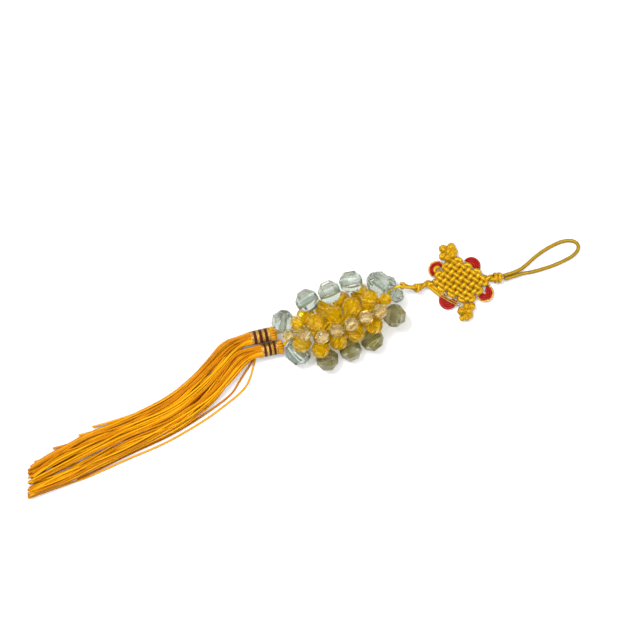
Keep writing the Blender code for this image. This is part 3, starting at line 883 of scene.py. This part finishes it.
class CHARM_OT_neck(bpy.types.Operator):
    """Lays the doubled cord between the beads and the knot, with its collar and its lump"""

    bl_idname = "charm.neck"
    bl_label = "Neck cord"

    def execute(self, context):
        cords = Cords(sides=12)
        route = smooth_path([point(row) for row in NECK_ROUTE], 6)
        for side in (1, -1):
            cords.add(self.ply(route, side), 0.78 * MM)
        for start, end, major, half in ((0, 1, 1.05, 0.62), (4, 5, 1.25, 0.72), (5, 6, 1.0, 0.62)):
            axis = NECK_ROUTE[start][:3], NECK_ROUTE[end][:3]
            cords.add(wound(*axis, -0.1, 0.7, 1.1, major, steps=26, phase=2.2), half * MM)
        for beside in (0, 1):
            corner = [point(row) + point(CORNER_STEP) * beside for row in CORNER_ROUTE]
            cords.add(smooth_path(corner, 5), CORNER_HALF * MM)
        neck = cords.make("doubled_cord", finish("yellow satin"))
        finish_piece(neck, "yellow_satin", "neck_cord")
        return {"FINISHED"}

    @staticmethod
    def ply(route, side):
        """One of the two cords: side by side near the beads, twisted together near the knot."""
        path = []
        for index, (spot, way) in enumerate(zip(route, path_directions(route))):
            share = index / (len(route) - 1)
            angle = tau * (0.12 + 0.5 * share + 1.6 * max(0.0, share - 0.62))
            across = way.cross(UP).normalized()
            rise = across.cross(way)
            wide = (0.74 - 0.18 * share) * MM * side
            path.append(spot + across * (wide * cos(angle)) + rise * (wide * sin(angle)))
        return path


# Beads


RING_STRING = tuple("ring_bead_" + letter for letter in "abcdefghij")
LARGE_BEAD = "ring_bead_i"
LARGE_SCALE = 1.13
# Clear beads on the cluster's lower side, given the darker glass as painted shade
PAINTED_SHADE_BEADS = ("ring_bead_e", "ring_bead_f", "ring_bead_g", "ring_bead_h")
YELLOW_STRINGS = tuple(
    tuple(f"yellow_{row}_{index}" for index in range(1, 5))
    for row in ("top_far", "top_near", "under_far", "under_near"))
RIDGE_STRINGS = tuple(tuple(f"ridge_{row}_{index}" for index in range(1, 6)) for row in ("top", "under"))
END_BEADS = {
    "end_bead_tinted": (2.9, "amber glass"),
    "end_bead_clear": (2.6, "blush glass"),
    "end_bead_yellow": (3.9, "amber glass"),
    "end_bead_left": (2.3, "blush glass"),
    "end_bead_right": (2.6, "amber glass"),
    "collar_bead_far": (2.85, "clear glass"),
    "collar_bead_near": (2.85, "clear glass"),
}
# A bead's rings of corners: distance along the hole and width, as shares of its half length and radius,
# and whether the ring is turned by half a facet
ROUND_CUT = ((-0.97, 0.44, 0), (-0.42, 0.97, 1), (0.42, 0.97, 1), (0.97, 0.44, 0))
FAN_CUT = ((-0.92, 0.46, 0), (-0.50, 0.93, 0), (0.0, 1.03, 0), (0.50, 0.93, 0), (0.92, 0.46, 0))
FAN_FLUTE = 0.84


def select_faces(piece, wanted):
    """Selects the faces of the piece in edit mode that the test picks, and no others."""
    mesh = bmesh.from_edit_mesh(piece.data)
    for face in mesh.faces:
        face.select_set(False)
    for face in mesh.faces:
        if wanted(face):
            face.select_set(True)
    bmesh.update_edit_mesh(piece.data)


def cut_bead(name, sides, cut, flute=1.0):
    """A bead of radius 1 about X, from a circle's extruded rings: facets, hole and soft edges."""
    bpy.ops.object.select_all(action="DESELECT")
    bpy.ops.mesh.primitive_circle_add(
        vertices=sides, radius=cut[0][1], fill_type="NGON", location=(cut[0][0], 0, 0), rotation=(0, pi / 2, 0))
    blank = bpy.context.object
    blank.name = name
    bpy.ops.object.transform_apply(location=True, rotation=True)
    bpy.ops.object.mode_set(mode="EDIT")
    bpy.ops.mesh.select_all(action="SELECT")
    for (before, narrow, _), (along, wide, _) in zip(cut, cut[1:]):
        bpy.ops.mesh.extrude_region_move(TRANSFORM_OT_translate={"value": (along - before, 0, 0)})
        share = wide / narrow
        bpy.ops.transform.resize(value=(1, share, share), center_override=(along, 0, 0))
    bpy.ops.object.mode_set(mode="OBJECT")
    turn_rings(blank, sides, cut)
    for vert in blank.data.vertices:
        if round((atan2(vert.co.z, vert.co.y) % tau) / (tau / sides)) % 2:
            vert.co = (vert.co.x, vert.co.y * flute, vert.co.z * flute)
    bpy.ops.object.mode_set(mode="EDIT")
    select_faces(blank, lambda face: len(face.verts) == 4)
    bpy.ops.mesh.quads_convert_to_tris(quad_method="SHORTEST_DIAGONAL")
    bpy.ops.mesh.select_all(action="SELECT")
    bpy.ops.mesh.dissolve_limited(angle_limit=radians(4))
    select_faces(blank, lambda face: abs(face.normal.x) > 0.999)
    bpy.ops.mesh.inset(thickness=0.17, use_individual=True)
    bpy.ops.mesh.bridge_edge_loops()
    bpy.ops.mesh.select_all(action="SELECT")
    bpy.ops.mesh.normals_make_consistent(inside=False)
    bpy.ops.object.mode_set(mode="OBJECT")
    soften = blank.modifiers.new("soft edges", "BEVEL")
    soften.width = 0.008
    soften.segments = 2
    soften.limit_method = "ANGLE"
    soften.angle_limit = radians(8)
    bpy.ops.object.modifier_apply(modifier=soften.name)
    return blank


def turn_rings(blank, sides, cut):
    """Turns every other ring of corners by half a facet."""
    half = Matrix.Rotation(pi / sides, 3, "X")
    for along, _, turned in cut:
        if turned:
            for vert in blank.data.vertices:
                if abs(vert.co.x - along) < 0.01:
                    vert.co = half @ vert.co


def middle_of(node):
    """The middle of a CAD node's box."""
    low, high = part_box(node)
    return (Vector(low) + Vector(high)) / 2


def string_axes(names, closed):
    """Where each bead of a string is and the way its hole runs, from the beads on either side of it."""
    places = [middle_of(name) for name in names]
    count = len(places)
    for index, name in enumerate(names):
        if closed:
            before, after = places[index - 1], places[(index + 1) % count]
        else:
            before, after = places[max(index - 1, 0)], places[min(index + 1, count - 1)]
        yield name, places[index], (after - before).normalized()


def set_bead(blank, name, place, axis, radius, half_length, spin, finish_name):
    """A copy of the bead at its place, with a mesh of its own."""
    bead = blank.copy()
    bead.data = blank.data.copy()
    bead.name = name + "_cut"
    turn = axis.to_track_quat("X", "Z").to_matrix().to_4x4()
    shape = Matrix.Translation(place) @ turn @ Matrix.Rotation(spin, 4, "X")
    bead.data.transform(shape @ Matrix.Diagonal((half_length, radius, radius, 1)))
    bead.data.materials.clear()
    bead.data.materials.append(finish(finish_name))
    bpy.context.scene.collection.objects.link(bead)
    finish_piece(bead, "amber_bead" if finish_name == "amber glass" else "clear_bead", name)


class CHARM_OT_clear_beads(bpy.types.Operator):
    """Cuts one clear bead and copies it at its sizes round the cluster, along its ridges and to the clear end
    beads
    """

    bl_idname = "charm.clear_beads"
    bl_label = "Clear beads"

    def execute(self, context):
        sizes = settings("beads")
        blank = cut_bead("clear blank", 8, ROUND_CUT)
        for index, (name, place, axis) in enumerate(string_axes(RING_STRING, True)):
            # The lower side's beads take the darker glass as painted shade
            tint = "painted shade glass" if name in PAINTED_SHADE_BEADS else "clear glass"
            spin = 0.35 + 0.25 * (index % 3)
            scale = LARGE_SCALE if name == LARGE_BEAD else 1.0
            radius, half = sizes.ring_radius * scale, sizes.ring_half_length * scale
            set_bead(blank, name, place, axis, radius, half, spin, tint)
        for names in RIDGE_STRINGS:
            for index, (name, place, axis) in enumerate(string_axes(names, False)):
                axis = (axis + Vector((0, 0.25 * (-1) ** index, 0.1))).normalized()
                radius = sizes.ridge_radius
                set_bead(blank, name, place, axis, radius, radius, 0.5 * index, "blush glass")
        for index, (name, (radius, finish_name)) in enumerate(END_BEADS.items()):
            if finish_name != "amber glass":
                axis = Vector((1, 0.5 - 0.3 * index, 0.3)).normalized()
                set_bead(blank, name, middle_of(name), axis, radius * MM, radius * MM, 0.4, finish_name)
        bpy.data.objects.remove(blank)
        return {"FINISHED"}


class CHARM_OT_amber_beads(bpy.types.Operator):
    """Cuts one amber bead with a fan of facets and copies it along the four rows"""

    bl_idname = "charm.amber_beads"
    bl_label = "Amber beads"

    def execute(self, context):
        radius = settings("beads").yellow_radius
        blank = cut_bead("amber blank", 16, FAN_CUT, FAN_FLUTE)
        for row, names in enumerate(YELLOW_STRINGS):
            for index, (name, place, axis) in enumerate(string_axes(names, False)):
                lean = Vector((0, 0.9 * (-1) ** (index + row), 0.75 if index % 2 else -0.2))
                axis = (axis + lean).normalized()
                set_bead(blank, name, place, axis, radius, radius, 0.7 * index, "amber glass")
        for index, (name, (size, finish_name)) in enumerate(END_BEADS.items()):
            if finish_name == "amber glass":
                axis = Vector((0.5, -0.6, 0.8)).normalized()
                set_bead(blank, name, middle_of(name), axis, size * MM, size * MM, 0.3 * index, finish_name)
        bpy.data.objects.remove(blank)
        return {"FINISHED"}


# The cords through the middle of the cluster: its two ends, and how they lie round its axis
CORE_START = (-64.0, 4.6, 10.92)
CORE_END = (-32.5, 4.6, 10.92)
CORE_CORDS = 5
CORE_BOW = 1.5
CORE_HALF = 0.9
CORE_TURNS = 1.6
# The cords from the cluster's middle to the two tassels' caps and to the neck cord, under the beads
LINK_HALF = 0.6
LINKS = (
    ((-63.6, 4.6, 10.9), (-69.6, 5.6, 8.2), (-74.0, 5.8, 5.0), (-76.4, 4.8, 3.6), (-79.0, 5.0, 3.5)),
    ((-63.6, 5.2, 10.9), (-70.0, 8.0, 9.4), (-74.6, 10.0, 7.0), (-77.0, 10.7, 6.0), (-79.6, 11.0, 6.1)),
    ((-33.0, 4.8, 10.9), (-29.2, 6.8, 7.4), (-26.2, 7.6, 6.1), (-23.8, 7.6, 6.4), (-21.6, 6.9, 6.8)),
)


class CHARM_OT_core(bpy.types.Operator):
    """Twists the satin cords that run through the middle of the cluster, seen between the beads"""

    bl_idname = "charm.core"
    bl_label = "Core cords"

    def execute(self, context):
        cords = Cords(sides=10)
        long = (point(CORE_END) - point(CORE_START)).length / MM
        for index in range(CORE_CORDS):
            phase = tau * index / CORE_CORDS
            path = wound(CORE_START, CORE_END, 0.6, long - 0.6, CORE_TURNS, CORE_BOW, steps=24, phase=phase)
            cords.add(path, CORE_HALF * MM)
        cords.add([point(CORE_START).lerp(point(CORE_END), share) for share in (0.02, 0.5, 0.98)], CORE_HALF * MM)
        for route in LINKS:
            cords.add(smooth_path([point(row) for row in route], 5), LINK_HALF * MM)
        core = cords.make("twisted_core", finish("amber satin"))
        finish_piece(core, "yellow_satin", "core_cord")
        return {"FINISHED"}


class CHARM_OT_threads(bpy.types.Operator):
    """Runs the clear stringing thread through the holes of the beads"""

    bl_idname = "charm.threads"
    bl_label = "Nylon threads"

    def execute(self, context):
        radius = settings("beads").thread_radius
        cords = Cords(sides=6)
        ring = [middle_of(name) for name in RING_STRING]
        cords.add(smooth_path(ring + ring[:1], 6), radius)
        for names in RIDGE_STRINGS:
            cords.add(smooth_path([middle_of(name) for name in names], 6), radius)
        threads = cords.make("nylon_threads", finish("nylon"))
        finish_piece(threads, "clear_bead")
        return {"FINISHED"}


# Tassels: cap end and strand end of each head, and its side of the shared skirt
TASSELS = {
    "tassel_near": ((-77.0, 4.6, 3.3), (-86.2, 6.5, 4.5), -1),
    "tassel_far": ((-77.3, 10.7, 5.9), (-88.1, 12.8, 7.0), 1),
}
CAP_RIBS = 14
CAP_RIB = 0.145
# A rib's run over the cap: share of the head's length, and distance from its axis as a share of its radius
CAP_PROFILE = ((0.22, 0.22), (0.02, 0.42), (0.01, 0.70), (0.08, 0.88), (0.18, 0.80), (0.5, 0.76), (1.05, 0.80))
# The bindings of a head: share of its length where each begins and ends, and its finish
BINDINGS = (
    (0.20, 0.30, "gold thread"),
    (0.30, 0.40, "binding red"),
    (0.40, 0.51, "gold thread"),
    (0.51, 0.61, "binding red"),
    (0.61, 0.72, "gold thread"),
    (0.72, 0.82, "binding red"),
    (0.82, 0.94, "gold thread"),
)
BINDING_THREAD = 0.2
# The skirt that both tassels share: x and y of its middle, and half its width
SKIRT = (
    (-95.8, 9.8, 6.6),
    (-104.6, 5.8, 6.6),
    (-114.8, 1.4, 6.7),
    (-129.0, -2.2, 7.0),
    (-149.7, -2.8, 6.8),
    (-164.0, -2.9, 7.2),
    (-180.0, -3.7, 6.8),
    (-194.0, -4.3, 5.4),
)
# Strands in each row of a head, from the floor up, and how wide that row lies in the skirt
STRAND_ROWS = (4, 5, 6, 7, 7, 7, 6)
ROW_SPREAD = (1.0, 1.0, 1.0, 0.98, 0.94, 0.86, 0.72)
ROOT_ACROSS = 0.76
ROOT_RISE = 0.74
LAYER_RISE = 0.70
SKIRT_PARTING = -0.35
# How far a strand leaves its own line: from station to station, along its whole fall, in waves, and upwards
STRAND_JITTER = 1.5
STRAND_DRIFT = 2.4
STRAND_SWAY = 0.95
STRAND_LIFT = 0.5
# The line on which the strands end: x where y is 0, its slope, and how far an end may miss it
TIP_X = -190.9
TIP_SLOPE = 0.5
TIP_STAGGER = 1.6
STRAND_STEPS = 5
LOOSE_STRANDS = {
    (0, 0): ((-90.6, 2.6), (-95.7, -3.2), (-101.0, -6.0), (-110.0, -8.4), (-120.0, -10.4), (-136.4, -12.1),
             (-154.0, -12.0), (-170.8, -12.0), (-184.0, -11.0), (-197.5, -10.0)),
    (1, 0): ((-91.5, 3.4), (-98.0, -0.8), (-104.0, -4.7), (-112.0, -6.9), (-123.7, -9.0), (-136.0, -10.2),
             (-152.0, -10.4), (-164.0, -10.9), (-176.0, -11.2)),
}
# Tips of short strands that stand out from the skirt's far edge, and how they come out of it
SHORT_TIPS = ((-161.4, 6.0), (-168.0, 5.1), (-179.8, 4.5), (-189.0, 2.6))
SHORT_RUN = ((34.0, -3.2, 2.4), (18.0, -2.2, 2.8), (7.0, -1.1, 2.2), (0.0, 0.0, 1.2))


def spread_number(*values):
    """A number from 0 to 1 that depends only on the values."""
    total = sin(sum(value * weight for value, weight in zip(values, (12.99, 78.23, 37.72, 4.58)))) * 43758.5
    return total - floor(total)


def head_frame(name):
    """Start, direction, two square directions and length of a tassel head."""
    cap_end, strand_end, _ = TASSELS[name]
    start, end = point(cap_end), point(strand_end)
    way = (end - start).normalized()
    side = way.cross(UP).normalized()
    return start, way, side, side.cross(way), (end - start).length


class CHARM_OT_tassel_heads(bpy.types.Operator):
    """Folds the ribbed caps of the tassels and winds their bindings"""

    bl_idname = "charm.tassel_heads"
    bl_label = "Tassel heads"

    def execute(self, context):
        radius = settings("tassels").head_radius
        for name in TASSELS:
            start, way, side, rise, span = head_frame(name)
            ribs = Cords(sides=8)
            for index in range(CAP_RIBS):
                angle = tau * index / CAP_RIBS
                out = side * cos(angle) + rise * sin(angle)
                path = [start + way * (span * share) + out * (radius * wide) for share, wide in CAP_PROFILE]
                ribs.add(smooth_path(path, 4), CAP_RIB * radius)
            core = [start + way * (span * share) for share in (0.12, 0.5, 0.98)]
            ribs.add(core, 0.74 * radius)
            cap = ribs.make(name + "_cap", finish("head silk"))
            finish_piece(cap, "tassel_silk", name)
            for finish_name in ("gold thread", "binding red"):
                self.bind(name, finish_name, radius)
        return {"FINISHED"}

    @staticmethod
    def bind(name, finish_name, radius):
        """The rings of one thread on a head."""
        cap_end, strand_end, _ = TASSELS[name]
        span = (point(strand_end) - point(cap_end)).length / MM
        rings = Cords(sides=7)
        for low, high, own_finish in BINDINGS:
            if own_finish == finish_name:
                turns = max(1, round((high - low) * span / (2 * BINDING_THREAD)))
                path = wound(cap_end, strand_end, low * span + BINDING_THREAD, high * span, turns + 0.05,
                             0.93 * radius / MM, steps=32)
                rings.add(path, (BINDING_THREAD + 0.03) * MM)
        piece = rings.make(name + "_" + finish_name.replace(" ", "_"), finish(finish_name))
        finish_piece(piece, "tassel_silk", name)


def skirt_station(index, row, column, side, radius):
    """A strand's place at one station of the skirt, in its own layer."""
    x, y, half_width = SKIRT[index]
    before, after = Vector(SKIRT[max(index - 1, 0)][:2]), Vector(SKIRT[min(index + 1, len(SKIRT) - 1)][:2])
    along = (after - before).normalized()
    normal = Vector((along.y, -along.x))
    band = half_width - SKIRT_PARTING
    margin = band * (1 - ROW_SPREAD[row]) / 2
    fall = index / (len(SKIRT) - 1)
    jitter = STRAND_JITTER * (spread_number(row, column, side, index) - 0.5) * (0.3 + fall)
    drift = STRAND_DRIFT * (spread_number(column, row, side) - 0.5) * fall
    share = min(1.0, max(0.0, (column + 0.5 + jitter + drift * (1 + row / 3)) / STRAND_ROWS[row]))
    across = SKIRT_PARTING + margin + (band - 2 * margin) * (share if side > 0 else 1 - share)
    own = spread_number(row + 3, column, side)
    sway = STRAND_SWAY * sin(tau * (x / (45 + 40 * own) + own)) * min(1.0, share * 4, (1 - share) * 4)
    place = (Vector((x, y)) + normal * (side * across + sway)) * MM
    lift = STRAND_LIFT * spread_number(column, index, row)
    return Vector((place.x, place.y, radius + (row * LAYER_RISE + lift) * MM))


def strand_path(name, row, column, radius):
    """A strand's way from its root in the head to its tip."""
    start, way, side_way, rise, span = head_frame(name)
    side = TASSELS[name][2]
    count = STRAND_ROWS[row]
    offset = side_way * (ROOT_ACROSS * (column - (count - 1) / 2) * MM * 0.9)
    lift = UP * (ROOT_RISE * (row - (len(STRAND_ROWS) - 1) / 2) * MM)
    reach = Vector(offset + lift)
    limit = settings("tassels").head_radius - radius
    if reach.length > limit:
        reach = reach.normalized() * limit
    root = start + way * span + reach
    points = [root - way * (1.5 * MM), root + way * (1.6 * MM)]
    if side < 0 and (row, column) in LOOSE_STRANDS:
        points += [Vector((x * MM, y * MM, radius)) for x, y in LOOSE_STRANDS[(row, column)]]
    else:
        points += [skirt_station(index, row, column, side, radius) for index in range(len(SKIRT))]
        stagger = sin(2.3 * row + 4.1 * column + 1.7 * side)
        tip = (TIP_X + TIP_STAGGER * stagger) * MM + TIP_SLOPE * points[-1].y
        last = points[-1] - points[-2]
        points[-1] = points[-2] + last * ((tip - points[-2].x) / last.x)
    path = smooth_path(points, STRAND_STEPS)
    for spot in path:
        spot.z = max(spot.z, radius)
    return path


class CHARM_OT_tassel_strands(bpy.types.Operator):
    """Lets the silky strands fall from each head along the shared skirt"""

    bl_idname = "charm.tassel_strands"
    bl_label = "Tassel strands"

    def execute(self, context):
        radius = settings("tassels").strand_radius
        for name in TASSELS:
            strands = Cords(sides=8)
            for row, count in enumerate(STRAND_ROWS):
                for column in range(count):
                    strands.add(strand_path(name, row, column, radius), radius)
            if TASSELS[name][2] > 0:
                for tip_x, tip_y in SHORT_TIPS:
                    route = [point((tip_x + x, tip_y + y, z)) for x, y, z in SHORT_RUN]
                    strands.add(smooth_path(route, STRAND_STEPS), radius)
            skirt = strands.make(name + "_strands", finish("tassel silk"))
            finish_piece(skirt, "tassel_silk", name)
        return {"FINISHED"}


PIECES = (
    CHARM_OT_stage,
    CHARM_OT_loop,
    CHARM_OT_loop_knot,
    CHARM_OT_endless_knot,
    CHARM_OT_ears,
    CHARM_OT_petals,
    CHARM_OT_neck,
    CHARM_OT_clear_beads,
    CHARM_OT_amber_beads,
    CHARM_OT_core,
    CHARM_OT_threads,
    CHARM_OT_tassel_heads,
    CHARM_OT_tassel_strands,
)
GROUPS = {"cords": CordSettings, "beads": BeadSettings, "tassels": TasselSettings, "stage": StageSettings}


class CHARM_PT_panel(bpy.types.Panel):
    """Lists the charm's pieces and settings"""

    bl_idname = "CHARM_PT_panel"
    bl_label = "Beaded tassel charm"
    bl_space_type = "VIEW_3D"
    bl_region_type = "UI"
    bl_category = "Charm"

    def draw(self, context):
        for piece in PIECES:
            self.layout.operator(piece.bl_idname)
        for name, group in GROUPS.items():
            box = self.layout.box()
            box.label(text=name.capitalize())
            for setting in group.__annotations__:
                box.prop(settings(name), setting)


def register():
    """Registers the settings, the operators and the panel."""
    for name, group in GROUPS.items():
        bpy.utils.register_class(group)
        setattr(bpy.types.Scene, "charm_" + name, PointerProperty(type=group))
    for piece in PIECES:
        bpy.utils.register_class(piece)
    bpy.utils.register_class(CHARM_PT_panel)


def unregister():
    """Takes them out again."""
    bpy.utils.unregister_class(CHARM_PT_panel)
    for piece in reversed(PIECES):
        bpy.utils.unregister_class(piece)
    for name, group in GROUPS.items():
        delattr(bpy.types.Scene, "charm_" + name)
        bpy.utils.unregister_class(group)


def main():
    """Builds every piece in order."""
    register()
    for piece in PIECES:
        group, action = piece.bl_idname.split(".")
        getattr(getattr(bpy.ops, group), action)()


if __name__ == "__main__":
    main()
